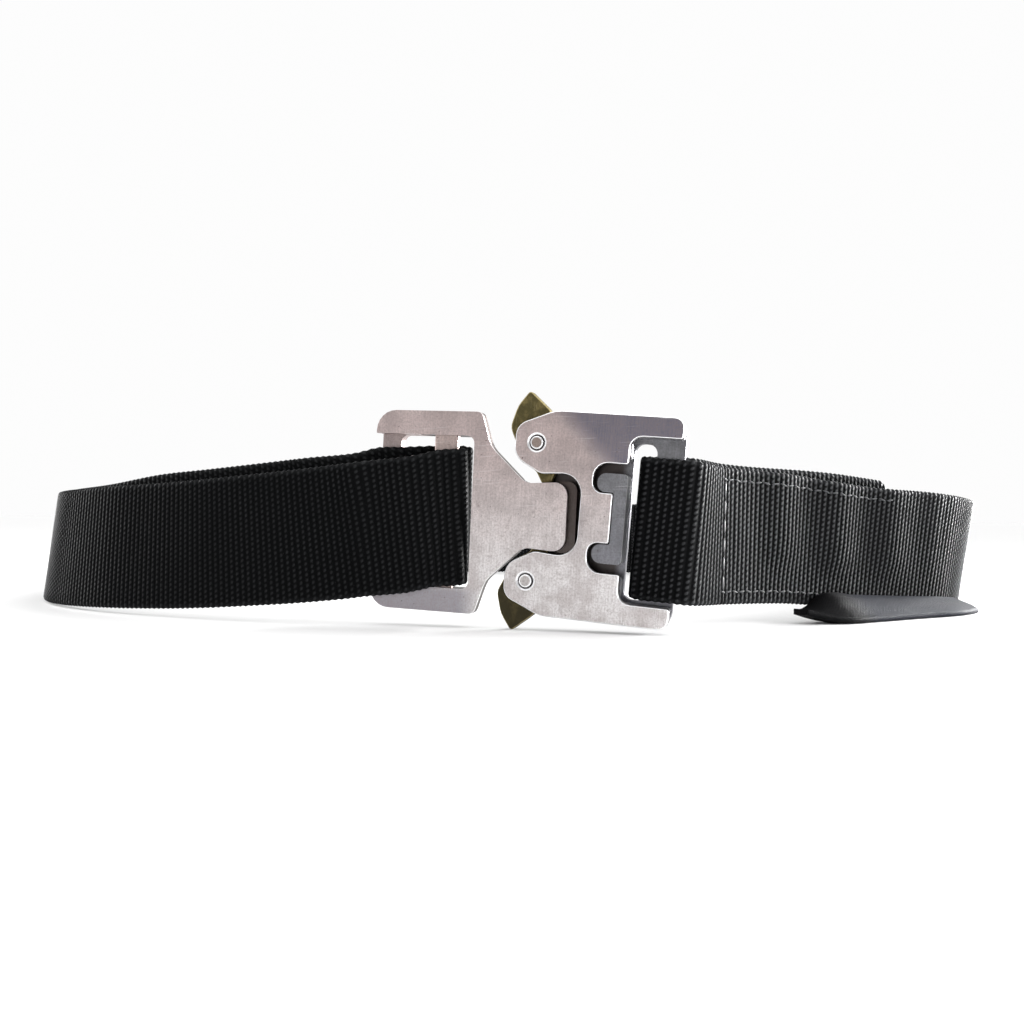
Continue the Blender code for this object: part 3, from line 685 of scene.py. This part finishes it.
def webbing_pairs(width):
    """The webbing's edges from its free tail to its sewn end, closely spaced."""
    plan = [Vector((x, y, 0.0)) * MM for x, y, *_ in ROUTE]
    left = [index for index, row in enumerate(ROUTE) if row[4] > 0.0 and row[0] < 0.0]
    right = [index for index, row in enumerate(ROUTE) if row[4] > 0.0 and row[0] > 0.0]
    male_wrap = wrap_rows(MALE_INNER_PASS[-1], MALE_OUTER_PASS[0], 1.0)
    female_wrap = wrap_rows(FEMALE_FRONT_PASS[-1], FEMALE_BACK_PASS[0], -1.0)
    pairs = [route_pair(index, plan, "inner", width) for index in reversed(left)]
    pairs += pass_pairs(MALE_SEAT, (*MALE_INNER_PASS, *male_wrap, *MALE_OUTER_PASS), width)
    pairs += [route_pair(index, plan, "outer", width) for index in range(len(ROUTE))]
    pairs += pass_pairs(FEMALE_SEAT, (*FEMALE_FRONT_PASS, *female_wrap, *FEMALE_BACK_PASS), width)
    pairs += [route_pair(index, plan, "inner", width) for index in reversed(right)]
    result = []
    for index in range(len(pairs) - 1):
        near = neighbours(pairs, index)
        steps = max(1, math.ceil((pairs[index + 1][0] - pairs[index][0]).length / STATION_STEP))
        for step in range(steps):
            result.append([curve_point([pair[edge] for pair in near], step / steps) for edge in (0, 1)])
    result.append(pairs[-1])
    return result


class Strap:
    """The webbing's middle surface, by distance along it and height above its bottom edge."""

    def __init__(self, width):
        pairs = webbing_pairs(width)
        self.low = np.array([low for low, _ in pairs])
        across = np.array([high for _, high in pairs]) - self.low
        self.across = across / np.linalg.norm(across, axis=1)[:, None]
        runs = np.gradient(self.low, axis=0)
        side = np.cross(runs, self.across)
        self.side = side / np.linalg.norm(side, axis=1)[:, None]
        steps = np.linalg.norm(np.diff(self.low, axis=0), axis=1)
        self.reach = np.concatenate(([0.0], np.cumsum(steps)))
        self.length = float(self.reach[-1])
        runs = runs / np.linalg.norm(runs, axis=1)[:, None]
        climb = np.sum(runs * self.across, axis=1)
        parts = (climb[1:] + climb[:-1]) / 2.0 * steps
        self.climbed = np.concatenate(([0.0], np.cumsum(parts)))
        self.heading = np.gradient(self.low[:, 0])

    def sample(self, table, distance):
        return np.stack([np.interp(distance, self.reach, table[:, axis]) for axis in range(3)], axis=1)

    def lean(self, distance):
        """How much the run climbs along its own height, so that ribs stand square to the run."""
        ahead = np.interp(distance + SLOPE_REACH, self.reach, self.climbed)
        behind = np.interp(distance - SLOPE_REACH, self.reach, self.climbed)
        fade = np.clip(np.minimum(distance, self.length - distance) / END_FADE, 0.0, 1.0)
        return (ahead - behind) / (2.0 * SLOPE_REACH) * fade

    def reach_at(self, x, wanted):
        """Mean distance along of the wanted stations that lie within a millimetre of x in the layout."""
        found = wanted & (np.abs(self.low[:, 0] - SHIFT.x - x) < MM)
        if not found.any():
            raise RuntimeError("the webbing does not pass that place")
        return float(np.mean(self.reach[found]))

    def outer_reach(self, x):
        """Distance along at which the outer layer of the right-hand run passes x in the layout."""
        front = self.low[:, 1] - SHIFT.y < FRONT_DEPTH
        return self.reach_at(x, front & (self.heading < 0.0))

    def inner_reach(self, x):
        """The same on the inner layer."""
        fold = self.reach > self.length - FOLD_REACH
        return self.reach_at(x, fold & (self.heading > 0.0))

    def points(self, distance, height, offset, settings):
        """Places on the webbing: offset is out of the loop on the outer layer."""
        square = distance - height * self.lean(distance)
        square = np.clip(square, 0.0, self.length)
        waves = self.ripple(square, height, settings)
        height = height + self.set_off(square, settings)
        return (self.sample(self.low, square) + self.sample(self.across, square) * height[:, None]
                - self.sample(self.side, square) * (offset + waves)[:, None])

    def set_off(self, distance, settings):
        """The sewn end stands a little higher than the outer layer, and that layer hangs beside it."""
        start, stop = self.outer_reach(RIPPLE_TO_X), self.outer_reach(SAG_FROM_X)
        sag = np.sin(math.pi * np.clip((distance - start) / (stop - start), 0.0, 1.0)) ** 2
        rise = np.clip((distance - self.length + TAIL_REACH) / (0.75 * TAIL_REACH), 0.0, 1.0)
        return settings.tail_rise * smooth(rise) - settings.sag * sag

    def ripple(self, distance, height, settings):
        """Soft waves of the outer layer beside the seam, outwards only."""
        start, stop = self.outer_reach(RIPPLE_TO_X), self.outer_reach(RIPPLE_FROM_X)
        share = np.clip((distance - start) / (stop - start), 0.0, 1.0)
        window = np.sin(math.pi * share) ** 0.6
        clear = smooth(np.clip((height - RIPPLE_CLEAR) / RIPPLE_BLEND, 0.0, 1.0))
        phase = 2.0 * math.pi * (distance - self.outer_reach(RIPPLE_CREST_X)) / settings.ripple_length
        return settings.ripple * (1.0 + np.cos(phase)) * window * clear


def strap_section(width, thickness):
    """Closed section of the webbing: height, offset, and the direction in which a rib stands out."""
    rim = thickness / 2.0
    flats = np.linspace(rim, width - rim, 9)
    angles = [math.radians(angle) for angle in (45.0, 90.0, 135.0)]
    turns = [(math.sin(angle), math.cos(angle)) for angle in angles]
    section = [(height, rim, 0.0, 1.0) for height in flats]
    section += [(width - rim + rim * up, rim * out, up, out) for up, out in turns]
    section += [(height, -rim, 0.0, -1.0) for height in reversed(flats)]
    section += [(rim - rim * up, -rim * out, -up, -out) for up, out in turns]
    section.append(section[0])
    return np.array(section)


def grid_places(piece, columns, rows):
    """Column and row of each vertex of a new grid of size 1."""
    if len(piece.data.vertices) != (columns + 1) * (rows + 1):
        raise RuntimeError("the grid has not the columns and rows that were asked for")
    places = np.zeros(len(piece.data.vertices) * 3)
    piece.data.vertices.foreach_get("co", places)
    places = places.reshape(-1, 3)
    column = np.rint((places[:, 0] + 0.5) * columns).astype(int)
    row = np.rint((places[:, 1] + 0.5) * rows).astype(int)
    return column, row


def lay_grid(piece, points, flat):
    """Moves a grid's vertices to their points and writes where they lie on the flat cloth."""
    piece.data.vertices.foreach_set("co", points.astype(np.float32).ravel())
    layer = piece.data.uv_layers.active or piece.data.uv_layers.new(name="UVMap")
    layer.name = "UVMap"
    corners = np.zeros(len(piece.data.loops), int)
    piece.data.loops.foreach_get("vertex_index", corners)
    layer.data.foreach_set("uv", flat[corners].astype(np.float32).ravel())
    piece.data.update()


class BELT_OT_webbing(bpy.types.Operator):
    """Weaves the strap along its whole route, with a raised ridge for every rib"""

    bl_idname = "belt.webbing"
    bl_label = "Webbing"

    columns_per_rib = 4

    def execute(self, context):
        settings = context.scene.belt_webbing
        strap = Strap(settings.width)
        ribs = round(strap.length / settings.rib_pitch)
        pitch = strap.length / ribs
        section = strap_section(settings.width, settings.thickness)
        columns, rows = ribs * self.columns_per_rib, len(section) - 1
        deselect()
        bpy.ops.mesh.primitive_grid_add(x_subdivisions=columns, y_subdivisions=rows, size=1.0)
        piece = context.object
        column, row = grid_places(piece, columns, rows)
        distance = column * (pitch / self.columns_per_rib)
        height, offset, rise, out = section[row].T
        ridge = -np.cos(2.0 * math.pi * distance / pitch) * settings.rib_relief
        to_end = np.minimum(distance, strap.length - distance)
        short = np.clip(STRAP_CORNER - to_end, 0.0, STRAP_CORNER)
        inset = STRAP_CORNER - np.sqrt(STRAP_CORNER ** 2 - short ** 2)
        height = inset + height * (1.0 - 2.0 * inset / settings.width) + rise * ridge
        points = strap.points(distance, height, offset + out * ridge, settings)
        lay_grid(piece, points, np.stack([distance, height], axis=1))
        shaped(
            piece,
            lambda: bpy.ops.mesh.remove_doubles(threshold=0.002 * MM),
            lambda: bpy.ops.mesh.select_all(action="DESELECT"),
            lambda: bpy.ops.mesh.select_non_manifold(),
            lambda: bpy.ops.mesh.fill_holes(sides=0),
            lambda: bpy.ops.mesh.select_all(action="SELECT"),
            lambda: bpy.ops.mesh.normals_make_consistent(inside=False),
        )
        make_active(piece)
        bpy.ops.object.shade_smooth()
        nylon = ribbed_nylon(settings, pitch, strap.outer_reach(SEWN_FROM_X) / MM)
        hand_over(piece, "strap_webbing", nylon, "black_webbing", "belt", "webbing")
        return {"FINISHED"}


class BELT_OT_stitching(bpy.types.Operator):
    """Sews the fold at the buckle: rows of short stitches along both edges and one across"""

    bl_idname = "belt.stitching"
    bl_label = "Stitching"

    tilts = (math.radians(-9.0), math.radians(12.0))
    upright = math.radians(90.0)
    cross_breadth = 2.5
    depth_share = 1.2
    lift = 0.10 * MM

    def execute(self, context):
        settings = context.scene.belt_webbing
        strap = Strap(settings.width)
        deselect()
        bpy.ops.mesh.primitive_uv_sphere_add(segments=8, ring_count=6, radius=0.5)
        stitch = context.object
        shape = np.array([vertex.co for vertex in stitch.data.vertices])
        stitches = []
        for distance, height, length, breadth, tilt in self.places(strap, settings):
            copy = stitch.copy()
            copy.data = stitch.data.copy()
            context.scene.collection.objects.link(copy)
            thread = settings.thread * breadth
            along = shape[:, 0] * length * math.cos(tilt) - shape[:, 1] * thread * math.sin(tilt)
            up = shape[:, 0] * length * math.sin(tilt) + shape[:, 1] * thread * math.cos(tilt)
            out = shape[:, 2] * settings.thread * self.depth_share + settings.thickness / 2.0 + self.lift
            points = strap.points(distance + along, height + up, out, settings)
            copy.data.vertices.foreach_set("co", points.astype(np.float32).ravel())
            stitches.append(copy)
        bpy.data.objects.remove(stitch)
        deselect()
        for copy in stitches:
            copy.select_set(True)
        context.view_layer.objects.active = stitches[0]
        bpy.ops.object.join()
        piece = context.object
        shaped(piece, lambda: bpy.ops.mesh.normals_make_consistent(inside=False))
        make_active(piece)
        bpy.ops.object.shade_smooth()
        hand_over(piece, "seam_stitching", sewing_thread(settings), "black_webbing", "belt")
        return {"FINISHED"}

    def places(self, strap, settings):
        """Distance along, height, length, breadth and tilt of each stitch, on both faces of the fold."""
        low, high = settings.stitch_inset, settings.width - settings.stitch_inset
        layers = ((strap.outer_reach(SEWN_TO_X), strap.outer_reach(SEWN_FROM_X)),
                  (strap.inner_reach(SEWN_TO_X), strap.inner_reach(SEWN_FROM_X)))
        for far, near in layers:
            count = round(abs(near - far) / settings.stitch_pitch)
            for index in range(count + 1):
                distance = far + (near - far) * index / count
                for height in (low, high):
                    yield distance, height, settings.stitch_length, 1.0, self.tilts[index % 2]
            count = round((high - low) / settings.bartack_pitch)
            for index in range(count):
                height = low + (high - low) * (index + 0.5) / count
                yield near, height, settings.bartack_length, self.cross_breadth, self.upright


class BELT_OT_label(bpy.types.Operator):
    """Folds the bare cloth label along its front edge"""

    bl_idname = "belt.label"
    bl_label = "Label"

    def execute(self, context):
        settings = context.scene.belt_label
        places = self.rows()
        shares = [smooth(min(max(index - 1, 0) / LABEL_SHUT_ROWS, 1.0)) for index in range(len(places))]
        points = np.array([self.section(row, settings.thickness, share)
                           for row, share in zip(places, shares)])
        columns, stations = points.shape[0] - 1, points.shape[1] - 1
        deselect()
        bpy.ops.mesh.primitive_grid_add(x_subdivisions=columns, y_subdivisions=stations, size=1.0)
        piece = context.object
        column, row = grid_places(piece, columns, stations)
        drops = np.linalg.norm(np.diff(points, axis=1), axis=2)
        down = np.concatenate((np.zeros((len(points), 1)), np.cumsum(drops, axis=1)), axis=1)
        strides = np.mean(np.linalg.norm(np.diff(points, axis=0), axis=2), axis=1)
        along = np.concatenate(([0.0], np.cumsum(strides)))
        flat = np.stack([along[column], down[column, row]], axis=1)
        lay_grid(piece, points[column, row], flat)
        apply_modifier(piece, "cloth", "SOLIDIFY", thickness=settings.thickness, offset=0.0)
        shaped(piece, lambda: bpy.ops.mesh.normals_make_consistent(inside=False))
        apply_modifier(piece, "worn rim", "BEVEL", width=LABEL_RIM, segments=2, limit_method="ANGLE",
                       angle_limit=math.radians(60.0))
        make_active(piece)
        bpy.ops.object.shade_smooth_by_angle(angle=math.radians(60.0))
        hand_over(piece, "folded_label", woven_label(settings), "label_cloth", "belt", "label")
        return {"FINISHED"}

    def rows(self):
        """Rows from left to right on smooth curves through the given ones: x, y, top, floor."""
        rows = [[Vector((x, y, top, floor)) * MM for x, y, top in stations]
                for floor, *stations in LABEL_ROWS]
        result = []
        for index in range(len(rows) - 1):
            near = neighbours(rows, index)
            for step in range(LABEL_STEPS):
                result.append([curve_point([row[station] for row in near], step / LABEL_STEPS)
                               for station in range(len(rows[0]))])
        result.append(rows[-1])
        return result

    def section(self, stations, thickness, share):
        """Middle of the cloth, from the webbing over the top, round the fold and back underneath.

        share is 0 at the left end, where the two layers are sewn shut, and 1 where they are open.
        """
        half = thickness / 2.0
        outer = thickness * LABEL_SHUT + LABEL_GAP / 2.0 * share
        floors = [Vector((x, y, max(floor, 0.0))) for x, y, _, floor in stations]
        tops = []
        for station, floor in zip(stations, floors):
            closed = floor.z + 2.0 * outer
            tops.append(Vector((floor.x, floor.y, closed + max(station[2] - closed, 0.0) * share - half)))
        inwards = (floors[-1] - floors[0]).normalized()
        up = Vector((0.0, 0.0, 1.0))
        section = []
        for index in range(len(tops) - 1, 1, -1):
            section += [tops[index], tops[index].lerp(tops[index - 1], 0.5)]
        section.append(tops[1])
        middle = outer - half
        for step in range(LABEL_FOLD_STEPS + 1):
            angle = math.pi * step / LABEL_FOLD_STEPS
            section.append(floors[0] + inwards * (outer - middle * math.sin(angle))
                           + up * (outer + middle * math.cos(angle)))
        section += [floor + up * half for floor in floors[1:]]
        return [point + SHIFT for point in section]


class BELT_OT_plates(bpy.types.Operator):
    """Finishes the tongue half and the two plates of the mouth half in satin aluminium"""

    bl_idname = "belt.plates"
    bl_label = "Plates"

    def execute(self, context):
        settings = context.scene.belt_buckle
        # the upper colour is a painted reflection that darkens the plates towards the top
        satin = (settings.aluminium, settings.aluminium_upper_reflection)
        dull = (settings.back, settings.back)
        plates = (
            ("male_frame", "tongue_half", MALE_SEAT, satin, male_marks),
            ("female_front_plate", "front_plate", FEMALE_SEAT, satin, front_marks),
            ("female_back_plate", "back_plate", FEMALE_SEAT, dull, back_marks),
        )
        for node, name, seat, (low, high), marks in plates:
            piece = merged_copy(node)
            soft_edges(piece)
            metal = satin_metal(name + " aluminium", seat, low, high, settings, marks)
            hand_over(piece, name, metal, "satin_aluminium", "belt", node)
        return {"FINISHED"}


class BELT_OT_bar(bpy.types.Operator):
    """Finishes the bar that the strap turns round"""

    bl_idname = "belt.bar"
    bl_label = "Adjuster bar"

    def execute(self, context):
        settings = context.scene.belt_buckle
        piece = merged_copy("adjuster_bar")
        soft_edges(piece)
        metal = satin_metal("bar metal", MALE_SEAT, settings.bar, settings.bar, settings, plain_marks)
        hand_over(piece, "slide_bar", metal, "bar_metal", "belt", "adjuster_bar")
        return {"FINISHED"}


class BELT_OT_levers(bpy.types.Operator):
    """Finishes the two thumb levers, each on its own body"""

    bl_idname = "belt.levers"
    bl_label = "Levers"

    def execute(self, context):
        brass = olive_brass(context.scene.belt_buckle)
        for node, name in (("lever_top", "thumb_lever_top"), ("lever_bottom", "thumb_lever_bottom")):
            piece = merged_copy(node)
            soft_edges(piece)
            hand_over(piece, name, brass, "lever_brass", node, node)
        return {"FINISHED"}


class BELT_OT_rivets(bpy.types.Operator):
    """Turns the rivets: a slightly dished head with a bright chamfer"""

    bl_idname = "belt.rivets"
    bl_label = "Rivets"

    radius = 2.1 * MM
    front = -0.15 * MM
    foot = 10.3 * MM
    chamfer = 0.35 * MM
    dish_rim = 0.35 * MM
    dish = 0.12 * MM
    flat = 0.99

    def execute(self, context):
        settings = context.scene.belt_buckle
        # painted reflection: lit and shaded copies of one metal, the top rivet darker than the bottom one
        colours = (settings.aluminium, settings.rivet)
        metal = satin_metal("rivet metal", FEMALE_SEAT, *colours, settings, rivet_marks)
        for node, sign in (("rivet_top", 1.0), ("rivet_bottom", -1.0)):
            deselect()
            length = self.foot - self.front
            bpy.ops.mesh.primitive_cylinder_add(vertices=64, radius=self.radius, depth=length)
            piece = context.object
            shaped(piece, lambda: bpy.ops.mesh.select_all(action="DESELECT"))
            self.edit_ends(piece, lambda: bpy.ops.mesh.bevel(offset=self.chamfer, segments=3))
            self.edit_ends(piece, lambda: bpy.ops.mesh.inset(thickness=self.dish_rim, depth=-self.dish))
            shaped(piece, lambda: bpy.ops.mesh.normals_make_consistent(inside=False))
            stand = (FEMALE_SEAT
                     @ Matrix.Translation((RIVET_U, (self.foot + self.front) / 2.0, sign * RIVET_V))
                     @ Matrix.Rotation(math.radians(90.0), 4, "X"))
            piece.data.transform(stand)
            soft_edges(piece, 40.0)
            hand_over(piece, node.replace("rivet", "rivet_head"), metal, "rivet_steel", "belt", node)
        return {"FINISHED"}

    def edit_ends(self, piece, step):
        """Runs an edit-mode step on the two flat ends of an upright cylinder."""
        for face in piece.data.polygons:
            face.select = abs(face.normal.z) > self.flat
        bpy.ops.object.mode_set(mode="EDIT")
        bpy.ops.mesh.select_mode(type="FACE")
        step()
        bpy.ops.object.mode_set(mode="OBJECT")


class BELT_OT_stage(bpy.types.Operator):
    """Sets the pale floor, the soft lights, the surroundings and the camera"""

    bl_idname = "belt.stage"
    bl_label = "Stage"

    def execute(self, context):
        settings = context.scene.belt_stage
        self.make_floor(context, settings)
        self.make_surroundings(context, settings)
        middle = SHIFT + Vector((0.0, 0.03, 0.04))
        lights = (
            ("top light", (-0.05, 0.10, 0.95), (0.0, 0.0, 0.0), 0.55, settings.top_power),
            ("right light", (0.85, -0.14, 0.10), (0.0, 0.0, 0.0), 0.5, settings.right_power),
            ("right rim light", (0.80, 0.48, 0.08), (0.18, 0.08, 0.0), 0.35, settings.rim_power),
            ("left rim light", (-0.80, 0.48, 0.08), (-0.18, 0.08, 0.0), 0.35,
             settings.rim_power * LEFT_RIM_SHARE),
        )
        for name, place, target, size, power in lights:
            self.make_light(name, middle + Vector(place), middle + Vector(target), size, power)
        self.make_camera(context)
        return {"FINISHED"}

    def make_floor(self, context, settings):
        deselect()
        bpy.ops.mesh.primitive_plane_add(size=24.0)
        floor = context.object
        floor.name = "floor"
        finish = Finish("paper floor", 0.0)
        place = finish.node("ShaderNodeTexCoord", {}, {}, output="Object")
        fibre = finish.noise(place, 90.0, 3.0)
        shade = finish.mix(fibre * 0.04, settings.floor, dimmed(settings.floor, 0.9))
        floor.data.materials.append(finish.surface(shade, 0.85, fibre, 0.01 * MM))

    def make_surroundings(self, context, settings):
        """White behind the belt, dim in front of it, and brighter towards both sides and above."""
        world = bpy.data.worlds.new("studio")
        context.scene.world = world
        world.use_nodes = True
        nodes = NodeTree(world.node_tree)
        background = world.node_tree.nodes["Background"]
        direction = nodes.node("ShaderNodeTexCoord", {}, {}, output="Generated")
        x, y, z = nodes.parts(direction)
        front = FRONT_LEVEL + x.over(-0.36, -0.70) * LEFT_LEVEL + x.over(0.52, 0.80) * RIGHT_LEVEL
        level = front + (BACK_LEVEL - front) * y.over(-0.35, 0.25)
        level = level + (ZENITH_LEVEL - level) * z.over(0.35, 0.85)
        rays = nodes.node("ShaderNodeLightPath", {}, {}, output="Is Camera Ray")
        strength = level + (settings.backdrop - level) * rays
        nodes.feed(background.inputs["Strength"], strength)
        nodes.feed(background.inputs["Color"], (1.0, 1.0, 1.0))

    def make_light(self, name, place, target, size, power):
        lamp = bpy.data.lights.new(name, "AREA")
        lamp.shape = "SQUARE"
        lamp.size = size
        lamp.energy = power
        light = bpy.data.objects.new(name, lamp)
        light.location = place
        light.rotation_euler = (target - place).to_track_quat("-Z", "Y").to_euler()
        bpy.context.scene.collection.objects.link(light)

    def make_camera(self, context):
        lens = bpy.data.cameras.new("camera")
        lens.sensor_width = 36.0
        lens.lens = lens.sensor_width * CAMERA_FOCAL_PIXELS / PHOTO_PIXELS
        lens.clip_start = 0.01
        camera = bpy.data.objects.new("camera", lens)
        turn = Matrix.Rotation(CAMERA_TILT, 4, "X") @ Matrix.Rotation(CAMERA_ROLL, 4, "Z")
        camera.matrix_world = Matrix.Translation(SHIFT + Vector(CAMERA_PLACE)) @ turn
        context.scene.collection.objects.link(camera)
        context.scene.camera = camera
        context.scene.view_settings.view_transform = "Standard"


class BELT_PT_panel(bpy.types.Panel):
    """Lists the belt's pieces and their settings"""

    bl_label = "Belt"
    bl_idname = "BELT_PT_panel"
    bl_space_type = "VIEW_3D"
    bl_region_type = "UI"
    bl_category = "Belt"

    def draw(self, context):
        for name, group in SETTINGS.items():
            box = self.layout.box()
            box.label(text=name.removeprefix("belt_").capitalize())
            for key in group.__annotations__:
                box.prop(getattr(context.scene, name), key)
        for operator in OPERATORS:
            self.layout.operator(operator.bl_idname)


SETTINGS = {
    "belt_webbing": WebbingSettings,
    "belt_buckle": BuckleSettings,
    "belt_label": LabelSettings,
    "belt_stage": StageSettings,
}
OPERATORS = (
    BELT_OT_webbing,
    BELT_OT_stitching,
    BELT_OT_label,
    BELT_OT_plates,
    BELT_OT_bar,
    BELT_OT_levers,
    BELT_OT_rivets,
    BELT_OT_stage,
)


def register():
    for group in SETTINGS.values():
        bpy.utils.register_class(group)
    for operator in OPERATORS:
        bpy.utils.register_class(operator)
    bpy.utils.register_class(BELT_PT_panel)
    for name, group in SETTINGS.items():
        setattr(bpy.types.Scene, name, bpy.props.PointerProperty(type=group))


def unregister():
    for name in SETTINGS:
        delattr(bpy.types.Scene, name)
    bpy.utils.unregister_class(BELT_PT_panel)
    for operator in reversed(OPERATORS):
        bpy.utils.unregister_class(operator)
    for group in reversed(SETTINGS.values()):
        bpy.utils.unregister_class(group)


def main():
    register()
    bpy.ops.belt.webbing()
    bpy.ops.belt.stitching()
    bpy.ops.belt.label()
    bpy.ops.belt.plates()
    bpy.ops.belt.bar()
    bpy.ops.belt.levers()
    bpy.ops.belt.rivets()
    bpy.ops.belt.stage()


if __name__ == "__main__":
    main()
